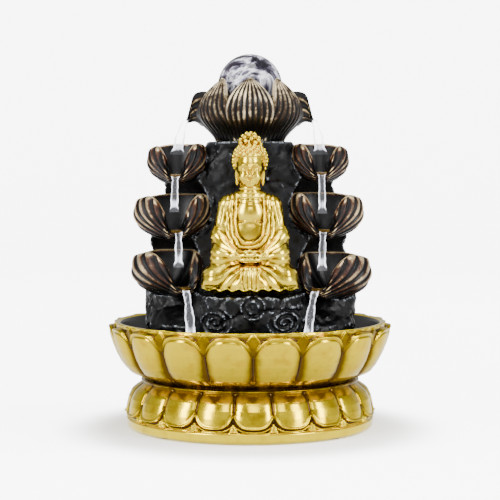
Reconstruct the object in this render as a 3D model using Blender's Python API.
"""Tabletop water fountain: a lotus basin on a petalled plinth, a rock tower with six leaf cups,
a seated figure, and a lotus crown that carries a rolling glass ball over a lit water jet.

Frame: metres, +Z up, front towards -Y, origin at the centre of the footprint on the table.
"""

import math

import bmesh
import bpy
from mathutils import Matrix, Vector, noise

MM = 0.001
GAP = 0.3 * MM  # clearance between bonded or resting pieces
SLIP = 0.4 * MM  # clearance round a piece that is pulled out by hand

# Plinth and feet
PAD_H = 1.0 * MM
PAD_R = 5.0 * MM
PAD_RING_R = 83.0 * MM
BAND_R = 92.3 * MM
BAND_H = 7.0 * MM
PLINTH_H = 35.7 * MM
PLINTH_LIP_R = 94.5 * MM
PLINTH_WALL = 8.0 * MM
PLINTH_PETALS = 20
PLINTH_RELIEF = 1.6 * MM

# Basin
BOWL_FOOT_R = 80.5 * MM
BOWL_RIM_R = 104.0 * MM
BOWL_H = 42.0 * MM
BOWL_BELLY = 2.3  # power of the flank's curve: higher is rounder
BOWL_WALL = 6.0 * MM
BOWL_FLOOR = 5.0 * MM
BOWL_PETALS = 18
BOWL_RELIEF = 1.5 * MM
BOWL_EDGE = 1.5 * MM  # how far the plain rim stands in from the petal tips
GROMMET_DROP = 7.5 * MM  # from the rim to the cable hole's centre
GROMMET_BORE_R = 2.2 * MM
GROMMET_SLEEVE_R = 3.6 * MM
GROMMET_FLANGE_R = 5.5 * MM
GROMMET_FLANGE_T = 1.6 * MM

# Rock tower: height above its base, half width, depth to the front, depth to the back
TOWER_LEVELS = tuple(
    tuple(value * MM for value in level)
    for level in (
        (0.0, 66.0, 56.0, 50.0),
        (17.0, 73.0, 60.0, 52.0),
        (36.0, 79.0, 56.0, 52.0),
        (50.0, 76.0, 34.0, 52.0),
        (59.0, 73.0, 25.5, 52.0),
        (70.0, 72.0, 24.5, 52.0),
        (92.0, 70.0, 23.5, 52.0),
        (118.0, 65.5, 23.0, 51.0),
        (138.0, 59.0, 23.0, 49.0),
        (154.0, 46.0, 24.0, 43.0),
        (164.0, 36.0, 26.0, 35.0),
        (170.5, 31.0, 28.0, 31.0),
    )
)
TOWER_COLUMNS = 44
ROCK_LUMP = 2.2 * MM
ROCK_LUMP_SIZE = 17.0 * MM

# Pump chamber in the tower's back, and the panel that closes it
CHAMBER_HALF_W = 29.0 * MM
CHAMBER_TOP_R = 13.0 * MM
CHAMBER_H = 142.0 * MM
CHAMBER_FRONT_Y = -16.0 * MM
RISER_SHAFT_R = 9.0 * MM
PANEL_LEDGE = 4.0 * MM
PANEL_T = 5.0 * MM
PANEL_BACK_Y = 47.0 * MM
PANEL_SLOT_W = 3.0 * MM
PANEL_SLOT_H = 10.0 * MM
PANEL_SLOTS = 5
PANEL_KNOB_R = 6.0 * MM

# Figure's rock seat: height above the basin floor, half width, depth to the front
SEAT_LEVELS = tuple(
    tuple(value * MM for value in level)
    for level in (
        (0.0, 40.0, 66.0),
        (18.0, 44.0, 71.0),
        (36.0, 43.0, 74.0),
        (52.0, 40.0, 77.0),
        (60.0, 38.0, 75.0),
    )
)
SEAT_COLUMNS = 28
SEAT_BACK_Y = -20.0 * MM

# Leaf cups: side, centre x, centre y, rim height above the tower's base, half width, reach to the
# front and back, depth, fall of the rim to the spout, turn of the spout towards the middle in degrees
CUPS = {
    "cup_left_top": (-1, 54.0, -13.0, 168.0, 21.0, 23.0, 17.0, 30.0, 22.5, 0.0),
    "cup_left_middle": (-1, 57.0, -14.0, 131.0, 28.0, 26.0, 18.0, 34.0, 26.0, 8.0),
    "cup_left_bottom": (-1, 62.0, -16.0, 89.5, 25.0, 30.0, 18.0, 33.0, 26.0, 30.0),
    "cup_right_top": (1, 52.0, -13.0, 168.0, 20.0, 23.0, 17.0, 29.0, 21.0, 0.0),
    "cup_right_middle": (1, 56.0, -14.0, 132.0, 27.0, 26.0, 18.0, 34.0, 26.5, 5.0),
    "cup_right_bottom": (1, 63.0, -16.0, 87.5, 26.0, 30.0, 18.0, 34.0, 25.0, 30.0),
}
CUP_ANGLES = (0, 10, 20, 32, 48, 72, 104, 142, 180)  # half of the rim, from the spout
CUP_WALL = 2.8 * MM
CUP_COVE = 14.0 * MM  # height of the hollow left in the rock above a cup

# Seated figure: each form's centre above the seat, and its radii
FIGURE_Y = -48.0 * MM
FIGURE_FORMS = (
    ((0, -3, 9), (34, 22, 16)),
    ((18, -7, 10), (17, 18, 12)),
    ((-18, -7, 10), (17, 18, 12)),
    ((0, 2, 42), (21, 14, 34)),
    ((0, 3, 63), (24, 11.5, 12)),
    ((22, 0, 44), (8.5, 11, 27)),
    ((-22, 0, 44), (8.5, 11, 27)),
    ((0, -12, 24), (19, 11, 10)),
    ((0, 0, 78), (8, 8, 10)),
    ((0, -1, 94), (13.2, 14, 18)),
    ((0, 1, 109), (8, 8, 8)),
)

# Lotus crown: height, radius of the outer side
CROWN_BASE_R = 30.0 * MM
CROWN_BELLY_R = 46.0 * MM
CROWN_TIP_R = 33.0 * MM
CROWN_H = 46.0 * MM
CROWN_NOTCH = 9.0 * MM  # how far the rim falls between two petals
CROWN_FLOOR = 8.5 * MM
CROWN_WALL = 3.5 * MM
CROWN_WELL_R = 21.0 * MM
CROWN_PETALS = 8
SPOUT_R = 48.0 * MM
SPOUT_H = 17.5 * MM
SPOUT_SPREAD = math.radians(15)

# Ball, its seat, the lamp and the jet
BALL_R = 24.0 * MM
BALL_H = 41.0 * MM  # centre above the crown's base
BALL_SEAT_R = 17.5 * MM  # where the seat's edge meets the ball
BALL_SEAT_WALL = 2.2 * MM
SEAT_FOOT_R = 15.0 * MM
SEAT_ARCH_W = 6.0 * MM
SEAT_ARCH_H = 4.5 * MM
JET_R = 2.2 * MM
SPIGOT_R = 3.2 * MM
SPIGOT_L = 14.0 * MM  # length of the inlet below the crown's base
FLANGE_R = 5.5 * MM
FLANGE_T = 1.5 * MM
LAMP_R = 12.0 * MM
LAMP_T = 3.5 * MM
LENS_T = 1.5 * MM

# Pump
PUMP_W = 36.0 * MM
PUMP_H = 34.0 * MM
MOTOR_D = 20.0 * MM
VOLUTE_D = 9.0 * MM
COVER_D = 7.5 * MM
COVER_WALL = 1.8 * MM
PUMP_CLEAR = 3.0 * MM  # from the chamber's front wall
PUMP_ROUND = 3.0 * MM
ROTOR_WELL_R = 9.0 * MM
MAGNET_R = 7.6 * MM
MAGNET_L = 14.0 * MM
SHAFT_R = 1.2 * MM
BUSH_R = 3.2 * MM
BUSH_T = 2.2 * MM
IMPELLER_R = 11.0 * MM
IMPELLER_DISC_T = 1.4 * MM
BLADE_H = 3.6 * MM
BLADES = 6
EYE_R = 5.5 * MM
OUTLET_L = 10.0 * MM
SLIDER_W = 14.0 * MM
SLIDER_H = 8.0 * MM
SLIDER_T = 2.0 * MM
SLIDER_TRAVEL = 5.0 * MM
SLIDER_TAB = 2.5 * MM
CUP_FOOT_H = 6.0 * MM
CUP_FOOT_R = 5.0 * MM

# Riser hose and lamp lead
HOSE_R = 5.0 * MM
HOSE_BORE_R = SPIGOT_R + 1.3 * GAP
HOSE_STEPS = 10
HOSE_STRAIGHT = 0.15  # share of the height that is straight at each end
LEAD_R = 1.0 * MM
LEAD_X = 7.6 * MM
CLIP_W = 4.0 * MM

# Heights that follow from the sizes above
PLINTH_Z = PAD_H + GAP
BOWL_Z = PLINTH_Z + PLINTH_H + GAP
RIM_Z = BOWL_Z + BOWL_H
FLOOR_Z = BOWL_Z + BOWL_FLOOR
TOWER_Z = FLOOR_Z + GAP
TOWER_H = TOWER_LEVELS[-1][0]
TOWER_TOP_Z = TOWER_Z + TOWER_H
SEAT_TOP_Z = TOWER_Z + SEAT_LEVELS[-1][0]
CROWN_Z = TOWER_TOP_Z + GAP
WELL_Z = CROWN_Z + CROWN_FLOOR
BALL_Z = CROWN_Z + BALL_H
PUMP_Z = TOWER_Z + CUP_FOOT_H + GAP
PUMP_TOP_Z = PUMP_Z + PUMP_H
AXIS_Z = PUMP_Z + PUMP_H / 2
MOTOR_Y = CHAMBER_FRONT_Y + PUMP_CLEAR
VOLUTE_Y = MOTOR_Y + MOTOR_D + GAP
COVER_Y = VOLUTE_Y + VOLUTE_D + GAP
COVER_BACK_Y = COVER_Y + COVER_D
OUTLET_Y = VOLUTE_Y + VOLUTE_D / 2
ROUND = 24  # sides of a small round piece


def clear_scene():
    for obj in list(bpy.data.objects):
        bpy.data.objects.remove(obj)


def finish_material(name, colour, roughness, metallic=0.0, alpha=1.0):
    material = bpy.data.materials.new(name)
    material.use_nodes = True
    shader = material.node_tree.nodes["Principled BSDF"]
    shader.inputs["Base Color"].default_value = (*colour, 1.0)
    shader.inputs["Roughness"].default_value = roughness
    shader.inputs["Metallic"].default_value = metallic
    shader.inputs["Alpha"].default_value = alpha
    return material


def add_object(name, bm, material=None, place=(0, 0, 0)):
    """Makes a mesh object from a bmesh, with its faces turned outwards and shaded smooth."""
    bmesh.ops.recalc_face_normals(bm, faces=bm.faces)
    mesh = bpy.data.meshes.new(name)
    bm.to_mesh(mesh)
    bm.free()
    mesh.shade_smooth()
    mesh.set_sharp_from_angle(angle=math.radians(35))
    obj = bpy.data.objects.new(name, mesh)
    obj.location = place
    if material:
        mesh.materials.append(material)
    bpy.context.collection.objects.link(obj)
    return obj


def skin(bm, rings, closed_loop=False):
    """Joins rings of equal length with quads. The ends are capped, or joined to each other."""
    rows = [[bm.verts.new(point) for point in ring] for ring in rings]
    pairs = list(zip(rows, rows[1:]))
    if closed_loop:
        pairs.append((rows[-1], rows[0]))
    for low, high in pairs:
        count = len(low)
        for i in range(count):
            after = (i + 1) % count
            bm.faces.new((low[i], low[after], high[after], high[i]))
    if not closed_loop:
        bm.faces.new(rows[0])
        bm.faces.new(rows[-1])
    return rows


def circle(radius, z, count=ROUND):
    steps = (2 * math.pi * i / count for i in range(count))
    return [Vector((radius * math.sin(a), -radius * math.cos(a), z)) for a in steps]


def turned(name, profile, material, place=(0, 0, 0), axis="Z", count=ROUND, hollow=False):
    """A turned piece from (radius, height) pairs. A hollow one is a closed loop round its bore."""
    bm = bmesh.new()
    skin(bm, [circle(radius, z, count) for radius, z in profile], closed_loop=hollow)
    if axis == "Y":
        bmesh.ops.rotate(bm, verts=bm.verts, matrix=Matrix.Rotation(math.radians(-90), 3, "X"))
    if axis == "X":
        bmesh.ops.rotate(bm, verts=bm.verts, matrix=Matrix.Rotation(math.radians(90), 3, "Y"))
    return add_object(name, bm, material, place)


def block(name, low, high, material=None, rounding=0.0, place=(0, 0, 0)):
    """A box between two corners, with its edges rounded."""
    bm = bmesh.new()
    size = Vector(high) - Vector(low)
    middle = (Vector(high) + Vector(low)) / 2
    bmesh.ops.create_cube(bm, size=1, matrix=Matrix.Translation(middle) @ Matrix.Diagonal((*size, 1)))
    if rounding:
        bmesh.ops.bevel(bm, geom=bm.edges, offset=rounding, segments=2, profile=0.5, affect="EDGES")
    return add_object(name, bm, material, place)


def spheroid(name, centre, radii, material=None, columns=20, rows=12):
    bm = bmesh.new()
    bmesh.ops.create_uvsphere(bm, u_segments=columns, v_segments=rows, radius=1)
    bmesh.ops.transform(bm, verts=bm.verts, matrix=Matrix.Diagonal((*radii, 1)))
    return add_object(name, bm, material, centre)


def combine(target, others, operation):
    """Applies exact Booleans to the target and removes the pieces that were used for them."""
    for other in others:
        modifier = target.modifiers.new(other.name, "BOOLEAN")
        modifier.operation = operation
        modifier.solver = "EXACT"
        modifier.object = other
    bpy.context.view_layer.update()
    graph = bpy.context.evaluated_depsgraph_get()
    mesh = bpy.data.meshes.new_from_object(target.evaluated_get(graph))
    target.modifiers.clear()
    target.data = mesh
    for other in others:
        bpy.data.objects.remove(other)
    return target


def cut(target, *cutters):
    return combine(target, cutters, "DIFFERENCE")


def join(target, *others):
    return combine(target, others, "UNION")


def child_of(parent, *children):
    bpy.context.view_layer.update()
    for child in children:
        child.parent = parent
        child.matrix_parent_inverse = parent.matrix_world.inverted()


# Basin and plinth


def plinth_radius(share):
    """Radius of the inverted petals at a share of their height, fullest at the lower lip."""
    top = BOWL_FOOT_R
    return top + (PLINTH_LIP_R - 2.5 * MM - top) * (1 - share**3)


def bowl_radius(height):
    """Radius of the basin's flank at a height above its foot."""
    share = min(max(height / BOWL_H, 0), 1)
    return BOWL_FOOT_R + (BOWL_RIM_R - BOWL_FOOT_R) * (1 - (1 - share) ** BOWL_BELLY)


def petal_ring(radius, z, petals, relief, columns_each=4, half_turn=False):
    """A ring that swells in the middle of each petal."""
    count = petals * columns_each
    shift = math.pi / 2 if half_turn else 0
    ring = []
    for i in range(count):
        angle = 2 * math.pi * i / count
        swell = relief * abs(math.sin(petals * angle / 2 + shift))
        reach = radius + swell
        ring.append(Vector((reach * math.sin(angle), -reach * math.cos(angle), z)))
    return ring


def make_feet(rubber):
    for name, degrees in (("front_left", 225), ("front_right", 315), ("rear_left", 135),
            ("rear_right", 45)):
        angle = math.radians(degrees)
        place = (PAD_RING_R * math.cos(angle), PAD_RING_R * math.sin(angle), 0)
        turned(f"foot_pad_{name}", ((PAD_R, 0), (PAD_R, PAD_H)), rubber, place, count=16)


def make_plinth(gold):
    """A ring of inverted petals over a plain foot band, open underneath and on top."""
    bottom, top = PLINTH_Z, PLINTH_Z + PLINTH_H
    band_top = bottom + BAND_H
    petal_h = top - band_top
    bore = BOWL_FOOT_R - PLINTH_WALL
    rings = [(BAND_R, bottom, 0), (BAND_R, band_top, 0),
            (PLINTH_LIP_R - PLINTH_RELIEF, band_top + 1 * MM, 1)]
    rings += [(plinth_radius(share), band_top + share * petal_h, 1) for share in (0.12, 0.35, 0.6,
            0.82, 0.94)]
    rings += [(BOWL_FOOT_R, top, 0), (bore, top, 0), (bore, bottom, 0)]
    bm = bmesh.new()
    skin(
        bm,
        [petal_ring(r, z, PLINTH_PETALS, PLINTH_RELIEF * on, half_turn=True) for r, z, on in rings],
        closed_loop=True,
    )
    return add_object("lotus_plinth", bm, gold)


def make_bowl(gold):
    """The basin: petals outside, a plain tub inside, and a drilled seat for the cable grommet."""
    flank = [(bowl_radius(BOWL_H * share), BOWL_H * share) for share in (0, 0.07, 0.17, 0.32, 0.5, 0.7)]
    tub_shares = (1, 0.75, 0.5, 0.3)
    rings = [(r, h, min(1, 6 * h / BOWL_H)) for r, h in flank]
    rings += [(BOWL_RIM_R - 0.5 * MM, BOWL_H * 0.88, 1.6), (BOWL_RIM_R - BOWL_EDGE, BOWL_H, 0)]
    rings += [(bowl_radius(BOWL_H * share) - BOWL_WALL, BOWL_H * share, 0) for share in tub_shares]
    rings += [(bowl_radius(BOWL_FLOOR) - BOWL_WALL, BOWL_FLOOR, 0)]
    bm = bmesh.new()
    skin(bm, [petal_ring(r, BOWL_Z + h, BOWL_PETALS, BOWL_RELIEF * on) for r, h, on in rings])
    bowl = add_object("lotus_bowl", bm, gold)
    hole_z = RIM_Z - GROMMET_DROP
    wall_y = bowl_radius(BOWL_H - GROMMET_DROP)
    face_in, face_out = wall_y - BOWL_WALL + 0.8 * MM, wall_y - 1.4 * MM
    spot_r = GROMMET_FLANGE_R + SLIP
    drill = turned("drill", ((GROMMET_SLEEVE_R + GAP, -20 * MM), (GROMMET_SLEEVE_R + GAP, 20 * MM)), None,
                   (0, wall_y, hole_z), "Y")
    spot_in = turned("spot_in", ((spot_r, 0), (spot_r, 20 * MM)), None,
            (0, face_in - 20 * MM, hole_z), "Y")
    spot_out = turned("spot_out", ((spot_r, 0), (spot_r, 20 * MM)), None, (0, face_out, hole_z), "Y")
    cut(bowl, drill, spot_in, spot_out)
    return face_in, face_out, hole_z


def make_grommet(rubber, face_in, face_out, hole_z):
    """The gland that the supply cable leaves through, held by a flange on each side of the wall."""
    half = (face_out - face_in) / 2 + GAP
    far = half + GROMMET_FLANGE_T
    profile = (
        (GROMMET_BORE_R, -far), (GROMMET_FLANGE_R, -far), (GROMMET_FLANGE_R, -half),
        (GROMMET_SLEEVE_R, -half), (GROMMET_SLEEVE_R, half), (GROMMET_FLANGE_R, half),
        (GROMMET_FLANGE_R, far), (GROMMET_BORE_R, far),
    )
    turned("cable_grommet", profile, rubber, (0, (face_in + face_out) / 2, hole_z), "Y", 16, hollow=True)


# Rock


def lumpy(point, away):
    """Pushes a point out from the middle line by soft lumps, as in carved rock."""
    lump = noise.noise(point / ROCK_LUMP_SIZE) * ROCK_LUMP
    return point + away * lump


def tower_rings(grown=0.0, smooth=False):
    """Rounded sections, wide at the sides and fuller in front; grown makes a cutter that leaves room."""
    rings = []
    for height, half_w, front, back in TOWER_LEVELS:
        ring = []
        end = height in (0.0, TOWER_H)
        for i in range(TOWER_COLUMNS):
            angle = 2 * math.pi * i / TOWER_COLUMNS
            across, along = math.sin(angle), -math.cos(angle)
            depth = front if along < 0 else back
            power = 2.2 if along < 0 else 3.0
            reach = (abs(across / half_w) ** power + abs(along / depth) ** power) ** (-1 / power)
            away = Vector((across, along, 0))
            point = away * (reach + grown) + Vector((0, 0, TOWER_Z + height))
            ring.append(point if end or smooth else lumpy(point, away))
        rings.append(ring)
    return rings


def arch(name, grown, near_y, far_y, material=None, foot=0.0):
    """A plate with straight leaning sides and a round top, between two depths."""
    top_r = CHAMBER_TOP_R + grown
    centre_z = TOWER_Z + CHAMBER_H - CHAMBER_TOP_R
    turns = [math.radians(170 - 16 * k) for k in range(11)]
    outline = [(top_r * math.cos(a), centre_z + top_r * math.sin(a)) for a in turns]
    high_x, high_z = outline[-1]
    half_w = CHAMBER_HALF_W + grown
    half_w += foot * (half_w - high_x) / (high_z - TOWER_Z)
    outline = [(-half_w, TOWER_Z - foot), *outline, (half_w, TOWER_Z - foot)]
    bm = bmesh.new()
    skin(bm, [[Vector((x, y, z)) for x, z in outline] for y in (near_y, far_y)])
    return add_object(name, bm, material)


def cup_spec(name):
    side, x, y, rim, half_w, front, back, depth, fall, turn = CUPS[name]
    place = Vector((side * x * MM, y * MM, TOWER_Z + rim * MM))
    sizes = (half_w * MM, front * MM, back * MM, depth * MM, fall * MM)
    return side, place, *sizes, math.radians(-side * turn)


def cup_angles():
    half = [math.radians(a) for a in CUP_ANGLES]
    return [-a for a in reversed(half[1:-1])] + half


def cup_rim(name, grown=0.0):
    """(direction, plan radius, height) round the rim. The rim falls to the spout between two lobes."""
    _, _, half_w, front, back, _, fall, turn = cup_spec(name)
    rim = []
    for angle in cup_angles():
        reach_y = front if math.cos(angle) > 0 else back
        radius = ((math.sin(angle) / half_w) ** 2 + (math.cos(angle) / reach_y) ** 2) ** -0.5
        open_share = min(max((abs(angle) - math.radians(10)) / math.radians(34), 0), 1)
        rise = open_share * open_share * (3 - 2 * open_share)
        heading = angle + turn * math.cos(angle / 2) ** 2
        away = Vector((math.sin(heading), -math.cos(heading), 0))
        rim.append((away, radius + grown, -fall * (1 - rise)))
    return rim


def cup_outside(name, grown=0.0):
    """Rings of a cup's outer side, from its underside up to the rim."""
    depth = cup_spec(name)[5] + grown
    rim = cup_rim(name, grown)
    rings = [[away * 2 * MM + Vector((0, 0, -depth)) for away, _, _ in rim]]
    for share in (0.75, 0.5, 0.28, 0.1, 0.0):
        turn = share * math.pi / 2
        swell = 1 + 0.10 * math.sin(2 * turn)
        rings.append(
            [away * radius * math.cos(turn) * swell + Vector((0, 0, top - (depth + top) * math.sin(turn)))
             for away, radius, top in rim]
        )
    return rings


def make_cup(name, bronze):
    """A folded leaf: a deep bowl whose rim stands up in two lobes and falls to the spout."""
    _, place, _, _, _, depth, _, _ = cup_spec(name)
    rim = cup_rim(name)
    rings = cup_outside(name)
    floor = CUP_WALL - depth
    for share in (1.0, 0.75, 0.45):
        sink = 1 - share**1.8
        rings.append(
            [away * (radius - CUP_WALL) * share + Vector((0, 0, top + (floor - top) * sink))
             for away, radius, top in rim]
        )
    rings.append([away * 2 * MM + Vector((0, 0, floor)) for away, _, _ in rim])
    bm = bmesh.new()
    skin(bm, rings)
    return add_object(name, bm, bronze, place)


def cup_pocket(name):
    """The room that the rock leaves for a cup: its outer form, and a cove above its mouth."""
    place = cup_spec(name)[1]
    rings = cup_outside(name, GAP)
    rings.append([away * radius * 0.72 + Vector((0, 0, CUP_COVE)) for away, radius,
            _ in cup_rim(name, GAP)])
    bm = bmesh.new()
    skin(bm, rings)
    return add_object("pocket_" + name, bm, None, place)


def make_tower(rock):
    """The rock: a lumpy column with a pocket for each cup and, behind, the pump's arched chamber."""
    bm = bmesh.new()
    skin(bm, tower_rings())
    tower = add_object("rock_tower", bm, rock)
    far = 90 * MM
    cutters = [cup_pocket(name) for name in CUPS]
    cutters.append(arch("chamber", 0, CHAMBER_FRONT_Y, far, foot=5 * MM))
    cutters.append(arch("ledge", PANEL_LEDGE, PANEL_BACK_Y - PANEL_T - GAP, far, foot=5 * MM))
    shaft_low = TOWER_Z + CHAMBER_H - 2 * CHAMBER_TOP_R
    cutters.append(
        turned("riser_shaft", ((RISER_SHAFT_R, shaft_low), (RISER_SHAFT_R, TOWER_TOP_Z + 5 * MM)), None)
    )
    return cut(tower, *cutters)


def make_seat_rock(rock):
    """The ledge that the figure sits on, fitted to the front of the tower."""
    rings = []
    for height, half_w, front in SEAT_LEVELS:
        ring = []
        for i in range(SEAT_COLUMNS):
            angle = 2 * math.pi * i / SEAT_COLUMNS
            across, along = math.sin(angle), -math.cos(angle)
            depth = (front + SEAT_BACK_Y) if along < 0 else 12 * MM
            reach = (abs(across / half_w) ** 2.6 + abs(along / depth) ** 2.6) ** (-1 / 2.6)
            away = Vector((across, along, 0))
            point = away * reach + Vector((0, SEAT_BACK_Y, TOWER_Z + height))
            ring.append(point if height in (0.0, SEAT_LEVELS[-1][0]) else lumpy(point, away))
        rings.append(ring)
    bm = bmesh.new()
    skin(bm, rings)
    seat = add_object("rock_seat", bm, rock)
    bm = bmesh.new()
    grown = tower_rings(grown=ROCK_LUMP + GAP, smooth=True)
    grown[0] = [point - Vector((0, 0, 4 * MM)) for point in grown[0]]
    skin(bm, grown)
    return cut(seat, add_object("tower_form", bm))


def make_panel(rock):
    """The panel over the pump chamber: water slots and a cable notch at its foot, and a knob to pull."""
    near = PANEL_BACK_Y - PANEL_T
    panel = arch("pump_panel", PANEL_LEDGE - SLIP, near, PANEL_BACK_Y, rock, foot=-GAP)
    knob_z = TOWER_Z + CHAMBER_H / 2
    knob = turned("knob", ((PANEL_KNOB_R, -1 * MM), (PANEL_KNOB_R * 0.7, 2 * MM), (PANEL_KNOB_R, 5 * MM),
                           (PANEL_KNOB_R * 0.7, 7 * MM)), None, (0, PANEL_BACK_Y, knob_z), "Y", 16)
    join(panel, knob)
    pitch = 2.6 * PANEL_SLOT_W
    slots = []
    for k in range(PANEL_SLOTS):
        x = (k - (PANEL_SLOTS - 1) / 2) * pitch
        low = (x - PANEL_SLOT_W / 2, near - 5 * MM, TOWER_Z + 3 * MM)
        high = (x + PANEL_SLOT_W / 2, PANEL_BACK_Y + 5 * MM, TOWER_Z + 3 * MM + PANEL_SLOT_H)
        slots.append(block(f"slot_{k}", low, high))
    notch_x = PANEL_SLOTS * pitch / 2 + 3 * MM
    slots.append(block("cable_notch", (notch_x, near - 5 * MM, TOWER_Z - 5 * MM),
                       (notch_x + 5 * MM, PANEL_BACK_Y + 5 * MM, TOWER_Z + 5 * MM)))
    return cut(panel, *slots)


# Figure


def make_figure(gold):
    """The seated figure: lap, torso, arms, neck, head and topknot joined into one casting."""
    origin = Vector((0, FIGURE_Y, SEAT_TOP_Z + GAP))
    forms = []
    for k, (centre, radii) in enumerate(FIGURE_FORMS):
        place = origin + Vector(centre) * MM
        forms.append(spheroid("seated_figure" if k == 0 else f"form_{k}", place,
                [r * MM for r in radii], gold,
                              columns=12, rows=8))
    figure = join(forms[0], *forms[1:])
    below = block("below", (-60 * MM, -120 * MM, 0), (60 * MM, 40 * MM, origin.z))
    return cut(figure, below)


# Crown, ball and lamp


def crown_outside(share):
    """Outer radius of a petal at a share of its height: base, belly, then in to the tip."""
    if share < 0.5:
        turn = share / 0.5 * math.pi / 2
        return CROWN_BASE_R + (CROWN_BELLY_R - CROWN_BASE_R) * math.sin(turn) ** 1.3
    turn = (share - 0.5) / 0.5 * math.pi / 2
    return CROWN_TIP_R + (CROWN_BELLY_R - CROWN_TIP_R) * math.cos(turn)


def crown_ring(share, inset=0.0):
    """One ring of the crown. The rim peaks at each petal, and folds out and down at the two spouts."""
    count = CROWN_PETALS * 6
    ring = []
    for i in range(count):
        angle = 2 * math.pi * i / count
        peak = abs(math.cos(CROWN_PETALS * angle / 2)) ** 1.5
        off_axis = min(abs(abs(math.remainder(angle, 2 * math.pi)) - math.pi / 2), math.pi)
        spout = math.exp(-((off_axis / SPOUT_SPREAD) ** 2))
        top = CROWN_H - CROWN_NOTCH * (1 - peak)
        top += (SPOUT_H - top) * spout
        lip_r = CROWN_BASE_R + (SPOUT_R - CROWN_BASE_R) * share
        radius = crown_outside(share) * (1 - spout) + lip_r * spout - inset
        ring.append(Vector((radius * math.sin(angle), -radius * math.cos(angle), CROWN_Z + top * share)))
    return ring


def make_crown(bronze):
    """The lotus on top: eight petals round a well, drilled for the jet and the lamp lead."""
    rings = [crown_ring(share) for share in (0, 0.13, 0.3, 0.5, 0.7, 0.87, 1.0)]
    rings += [crown_ring(share, CROWN_WALL) for share in (1.0, 0.85, 0.68)]
    count = len(rings[0])
    rings.append(circle(CROWN_WELL_R + 6 * MM, WELL_Z + 3 * MM, count))
    rings.append(circle(CROWN_WELL_R, WELL_Z, count))
    bm = bmesh.new()
    skin(bm, rings)
    crown = add_object("lotus_crown", bm, bronze)
    low, high = CROWN_Z - 5 * MM, WELL_Z + 5 * MM
    jet_hole = turned("jet_hole", ((SPIGOT_R + SLIP, low), (SPIGOT_R + SLIP, high)), None)
    lead_r = LEAD_R + GAP
    lead_hole = turned("lead_hole", ((lead_r, low), (lead_r, high)), None, (LEAD_X, 0, 0), count=12)
    return cut(crown, jet_hole, lead_hole)


def make_inlet(plastic):
    """The jet tube: a flange in the crown's well, and a spigot below it for the hose."""
    low = CROWN_Z - SPIGOT_L
    flange_low = WELL_Z + GAP
    top = flange_low + FLANGE_T
    profile = ((JET_R, low), (SPIGOT_R, low), (SPIGOT_R, flange_low), (FLANGE_R, flange_low),
               (FLANGE_R, top), (JET_R, top))
    turned("jet_inlet", profile, plastic, count=16, hollow=True)


def make_lamp(board, clear):
    inner = FLANGE_R + 2 * GAP
    low = WELL_Z + GAP
    top = low + LAMP_T
    turned("lamp_ring", ((inner, low), (LAMP_R, low), (LAMP_R, top), (inner, top)), board, hollow=True)
    low = top + GAP
    top = low + LENS_T
    profile = ((inner, low), (LAMP_R, low), (LAMP_R, low + LENS_T / 2), (LAMP_R - LENS_T / 2, top),
            (inner, top))
    turned("lamp_lens", profile, clear, hollow=True)


def under_ball(radius):
    """Height of the ball's underside at a distance from the axis, less the resting gap."""
    return BALL_Z - math.sqrt((BALL_R + GAP) ** 2 - radius**2)


def make_ball_seat(clear):
    """The ring that the ball turns on, flared to the ball and arched at its foot for the water."""
    low = WELL_Z + GAP
    edge_in, edge_out = BALL_SEAT_R - BALL_SEAT_WALL / 2, BALL_SEAT_R + BALL_SEAT_WALL / 2
    foot_out = SEAT_FOOT_R + BALL_SEAT_WALL
    middle = (low + under_ball(edge_out)) / 2
    profile = ((SEAT_FOOT_R, low), (foot_out, low), (foot_out, middle), (edge_out, under_ball(edge_out)),
               (edge_in, under_ball(edge_in)), (SEAT_FOOT_R, middle))
    seat = turned("ball_seat", profile, clear, count=32, hollow=True)
    reach = foot_out + 5 * MM
    half = SEAT_ARCH_W / 2
    arch_top = low + SEAT_ARCH_H
    across = block("arch_x", (-reach, -half, low - 5 * MM), (reach, half, arch_top))
    along = block("arch_y", (-half, -reach, low - 5 * MM), (half, reach, arch_top))
    return cut(seat, join(across, along))


def make_ball(glass):
    return spheroid("glass_ball", (0, 0, BALL_Z), (BALL_R, BALL_R, BALL_R), glass, columns=22, rows=13)


# Pump


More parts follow.
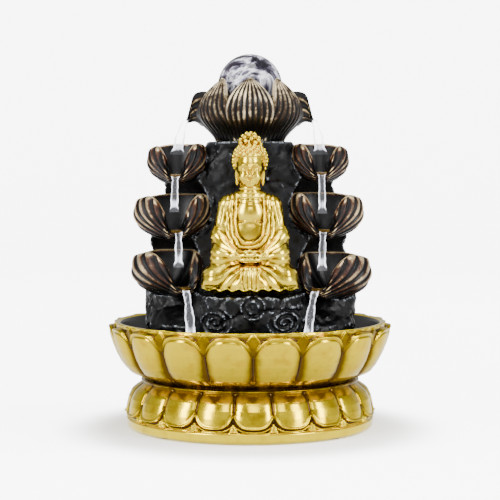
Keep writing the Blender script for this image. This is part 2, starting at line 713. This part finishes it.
def make_pump_body(plastic):
    """The motor block with its rotor well, and the volute with the pump's eye and outlet."""
    half = PUMP_W / 2
    motor = block("pump_motor", (-half, MOTOR_Y, PUMP_Z), (half, MOTOR_Y + MOTOR_D, PUMP_TOP_Z),
            plastic, PUMP_ROUND)
    well_y = MOTOR_Y + MOTOR_D - MAGNET_L - 2 * GAP
    seat_y = well_y - BUSH_T
    well = turned("well", ((ROTOR_WELL_R, 0), (ROTOR_WELL_R, MAGNET_L + 20 * MM)), None,
            (0, well_y, AXIS_Z), "Y")
    bush = turned("bush_seat", ((BUSH_R + GAP, -GAP), (BUSH_R + GAP, BUSH_T + 10 * MM)), None,
                  (0, seat_y, AXIS_Z), "Y", 16)
    cut(motor, well, bush)
    volute = block("pump_volute", (-half, VOLUTE_Y, PUMP_Z),
            (half, VOLUTE_Y + VOLUTE_D, PUMP_TOP_Z), plastic, 1 * MM)
    stub = turned("stub", ((SPIGOT_R, PUMP_TOP_Z - 2 * MM), (SPIGOT_R, PUMP_TOP_Z + OUTLET_L)), None,
                  (0, OUTLET_Y, 0), count=16)
    join(volute, stub)
    floor_y = VOLUTE_Y + VOLUTE_D - BUSH_T - 1 * MM
    room_r = IMPELLER_R + 1.5 * MM
    room = turned("room", ((room_r, 0), (room_r, floor_y - VOLUTE_Y + 10 * MM)), None,
                  (0, VOLUTE_Y - 10 * MM, AXIS_Z), "Y", 32)
    eye = turned("eye", ((EYE_R, 0), (EYE_R, 20 * MM)), None, (0, floor_y - 5 * MM, AXIS_Z), "Y")
    port = turned("port", ((JET_R, AXIS_Z), (JET_R, PUMP_TOP_Z + 20 * MM)), None, (0, OUTLET_Y, 0),
            count=12)
    cut(volute, room, eye, port)
    return well_y, seat_y, floor_y


def make_bushes(rubber, seat_y, floor_y):
    """The rubber bushes that hold the shaft: a cup in the motor block, and a spoked one in the eye."""
    bore = SHAFT_R + GAP
    ring = ((bore, 0), (BUSH_R, 0), (BUSH_R, BUSH_T), (bore, BUSH_T))
    turned("shaft_bush_inner", ring, rubber, (0, seat_y, AXIS_Z), "Y", 16, hollow=True)
    outer = turned("shaft_bush_outer", ring, rubber, (0, floor_y + 0.5 * MM, AXIS_Z), "Y", 16,
            hollow=True)
    reach = EYE_R - GAP
    half = 0.8 * MM
    y0, y1 = floor_y + 0.5 * MM, floor_y + 0.5 * MM + BUSH_T
    inner = BUSH_R - 0.6 * MM
    arms = [
        block("arm_right", (inner, y0, AXIS_Z - half), (reach, y1, AXIS_Z + half)),
        block("arm_left", (-reach, y0, AXIS_Z - half), (-inner, y1, AXIS_Z + half)),
        block("arm_up", (-half, y0, AXIS_Z + inner), (half, y1, AXIS_Z + reach)),
        block("arm_down", (-half, y0, AXIS_Z - reach), (half, y1, AXIS_Z - inner)),
    ]
    join(outer, *arms)


def make_rotor(magnet, plastic, steel, well_y, seat_y, floor_y):
    """The magnet and impeller that spin together on a fixed ceramic shaft."""
    shaft_end = floor_y + 0.5 * MM + BUSH_T
    turned("rotor_shaft", ((SHAFT_R, 0), (SHAFT_R, shaft_end - seat_y)), steel, (0, seat_y, AXIS_Z),
            "Y", 12)
    bore = SHAFT_R + GAP
    magnet_y = well_y + GAP
    length = MAGNET_L
    turned("rotor_magnet", ((bore, 0), (MAGNET_R, 0), (MAGNET_R, length), (bore, length)), magnet,
           (0, magnet_y, AXIS_Z), "Y", hollow=True)
    disc_y = magnet_y + length + GAP
    hub_r = bore + 1.5 * MM
    height = IMPELLER_DISC_T + BLADE_H
    profile = ((bore, 0), (IMPELLER_R, 0), (IMPELLER_R, IMPELLER_DISC_T), (hub_r, IMPELLER_DISC_T),
               (hub_r, height), (bore, height))
    wheel = turned("impeller", profile, plastic, (0, disc_y, AXIS_Z), "Y", hollow=True)
    blades = []
    for k in range(BLADES):
        blade = block(f"blade_{k}", (hub_r - 0.5 * MM, IMPELLER_DISC_T - 0.5 * MM, -0.5 * MM),
                      (IMPELLER_R - 1 * MM, height - 0.3 * MM, 0.5 * MM))
        blade.matrix_world = Matrix.Translation((0, disc_y,
                AXIS_Z)) @ Matrix.Rotation(2 * math.pi * k / BLADES, 4, "Y")
        blades.append(blade)
    join(wheel, *blades)


def make_intake(plastic):
    """The slotted cover that pulls off the volute, and the slider that throttles the flow."""
    half = PUMP_W / 2
    cover = block("intake_cover", (-half, COVER_Y, PUMP_Z), (half, COVER_BACK_Y, PUMP_TOP_Z),
            plastic, 1 * MM)
    wall = COVER_WALL
    inside = block("inside", (-half + wall, COVER_Y - 5 * MM, PUMP_Z + wall),
                   (half - wall, COVER_BACK_Y - wall, PUMP_TOP_Z - wall))
    slots = []
    for k in range(4):
        z = PUMP_Z + 5 * MM + k * 3.2 * MM
        slots.append(block(f"slit_{k}", (-half + 5 * MM, COVER_BACK_Y - 5 * MM, z),
                           (half - 5 * MM, COVER_BACK_Y + 5 * MM, z + 1.6 * MM)))
    window_z = PUMP_TOP_Z - 12 * MM
    slots.append(block("window", (-4 * MM, COVER_BACK_Y - 5 * MM, window_z),
            (4 * MM, COVER_BACK_Y + 5 * MM, window_z + 5 * MM)))
    cut(cover, inside, *slots)
    rail_half = SLIDER_W / 2 + SLIDER_TRAVEL
    middle_z = window_z + 2.5 * MM
    rails = []
    for sign in (-1, 1):
        z = middle_z + sign * (SLIDER_H / 2 + GAP + 0.6 * MM)
        rails.append(block(f"rail_{sign}", (-rail_half, COVER_BACK_Y - 0.5 * MM, z - 0.6 * MM),
                           (rail_half, COVER_BACK_Y + SLIDER_T, z + 0.6 * MM)))
    join(cover, *rails)
    slider_y = COVER_BACK_Y + GAP
    slider = block("flow_slider", (-SLIDER_W / 2, 0, -SLIDER_H / 2),
            (SLIDER_W / 2, SLIDER_T, SLIDER_H / 2), plastic,
                   place=(0, slider_y, middle_z))
    tab = block("tab", (-1 * MM, slider_y + SLIDER_T - 0.5 * MM, middle_z - 2.5 * MM),
                (1 * MM, slider_y + SLIDER_T + SLIDER_TAB, middle_z + 2.5 * MM))
    join(slider, tab)
    child_of(cover, slider)


def make_suction_feet(rubber):
    top = PUMP_Z - GAP
    height = top - TOWER_Z
    x, y_inset = PUMP_W / 2 - CUP_FOOT_R - 1 * MM, CUP_FOOT_R
    depth = MOTOR_D + GAP + VOLUTE_D
    for name, sx, y in (("front_left", -1, MOTOR_Y + y_inset), ("front_right", 1, MOTOR_Y + y_inset),
                        ("rear_left", -1, MOTOR_Y + depth - y_inset), ("rear_right", 1,
                                MOTOR_Y + depth - y_inset)):
        profile = ((CUP_FOOT_R, 0), (CUP_FOOT_R * 0.95, height * 0.2), (CUP_FOOT_R * 0.4, height * 0.55),
                   (CUP_FOOT_R * 0.4, height))
        turned(f"suction_foot_{name}", profile, rubber, (sx * x, y, TOWER_Z), count=12)


# Riser hose and lamp lead


def hose_line():
    """Points up the hose: straight at both ends, with an eased sidestep between them."""
    low, high = PUMP_TOP_Z + GAP, CROWN_Z - GAP
    line = []
    for k in range(HOSE_STEPS + 1):
        height = k / HOSE_STEPS
        share = min(max((height - HOSE_STRAIGHT) / (1 - 2 * HOSE_STRAIGHT), 0), 1)
        eased = share * share * (3 - 2 * share)
        line.append(Vector((0, OUTLET_Y * (1 - eased), low + height * (high - low))))
    return line


def make_hose(tube, line):
    """The hose from the pump's outlet up to the jet tube, with an open bore."""

    def ring(k, radius):
        before, after = line[max(k - 1, 0)], line[min(k + 1, HOSE_STEPS)]
        ahead = (after - before).normalized()
        side = Vector((1, 0, 0))
        other = ahead.cross(side)
        turns = (2 * math.pi * i / 12 for i in range(12))
        return [line[k] + (side * math.cos(a) + other * math.sin(a)) * radius for a in turns]

    rings = [ring(k, HOSE_R) for k in range(HOSE_STEPS + 1)]
    rings += [ring(k, HOSE_BORE_R) for k in range(HOSE_STEPS, -1, -1)]
    bm = bmesh.new()
    skin(bm, rings, closed_loop=True)
    add_object("riser_hose", bm, tube)


def make_lead(cable, line):
    """The lamp's lead: beside the hose from the lamp, then over to the top of the motor block."""
    route = [point + Vector((LEAD_X, 0, 0)) for point in line]
    route[0].z = PUMP_TOP_Z + 2 * GAP
    route[0].y = route[1].y = MOTOR_Y + MOTOR_D / 2
    route[2].y = (route[1].y + route[3].y) / 2
    route[-1].z = WELL_Z
    curve = bpy.data.curves.new("lamp_lead", "CURVE")
    curve.dimensions = "3D"
    curve.bevel_depth = LEAD_R
    curve.bevel_resolution = 2
    curve.use_fill_caps = True
    spline = curve.splines.new("POLY")
    spline.points.add(len(route) - 1)
    for point, where in zip(spline.points, route):
        point.co = (*where, 1)
    lead = bpy.data.objects.new("lamp_lead", curve)
    curve.materials.append(cable)
    bpy.context.collection.objects.link(lead)


def make_clip(plastic, line):
    """The clip that holds the lead to the hose."""
    middle = line[-3]
    z = middle.z
    outer = HOSE_R + 1.5 * MM
    band = ((HOSE_R + GAP, -CLIP_W / 2), (outer, -CLIP_W / 2),
            (outer, CLIP_W / 2), (HOSE_R + GAP, CLIP_W / 2))
    clip = turned("lead_clip", band, plastic, (middle.x, middle.y, z), count=20, hollow=True)
    room = turned("lead_room", ((LEAD_R + GAP, -CLIP_W), (LEAD_R + GAP, CLIP_W)), None,
                  (middle.x + LEAD_X, middle.y, z), count=12)
    return cut(clip, room)


def main():
    clear_scene()
    gold = finish_material("gold_resin", (0.72, 0.52, 0.13), 0.32, 0.9)
    rock = finish_material("black_resin", (0.02, 0.02, 0.022), 0.45)
    bronze = finish_material("bronze_resin", (0.09, 0.055, 0.03), 0.38, 0.3)
    glass = finish_material("swirled_glass", (0.45, 0.42, 0.5), 0.05, alpha=0.6)
    clear = finish_material("clear_plastic", (0.85, 0.88, 0.9), 0.15, alpha=0.4)
    plastic = finish_material("black_plastic", (0.03, 0.03, 0.032), 0.4)
    rubber = finish_material("soft_rubber", (0.05, 0.05, 0.05), 0.8)
    steel = finish_material("shaft_ceramic", (0.85, 0.85, 0.83), 0.2)
    magnet = finish_material("ferrite", (0.12, 0.12, 0.13), 0.5)
    board = finish_material("lamp_board", (0.9, 0.9, 0.86), 0.4)
    tube = finish_material("vinyl_hose", (0.75, 0.8, 0.82), 0.25, alpha=0.6)

    make_feet(rubber)
    make_plinth(gold)
    face_in, face_out, hole_z = make_bowl(gold)
    make_grommet(rubber, face_in, face_out, hole_z)
    make_tower(rock)
    make_seat_rock(rock)
    make_panel(rock)
    for name in CUPS:
        make_cup(name, bronze)
    make_figure(gold)
    make_crown(bronze)
    make_inlet(plastic)
    make_lamp(board, clear)
    make_ball_seat(clear)
    make_ball(glass)
    well_y, seat_y, floor_y = make_pump_body(plastic)
    make_bushes(rubber, seat_y, floor_y)
    make_rotor(magnet, plastic, steel, well_y, seat_y, floor_y)
    make_intake(plastic)
    make_suction_feet(rubber)
    line = hose_line()
    make_hose(tube, line)
    make_lead(rubber, line)
    make_clip(plastic, line)


main()
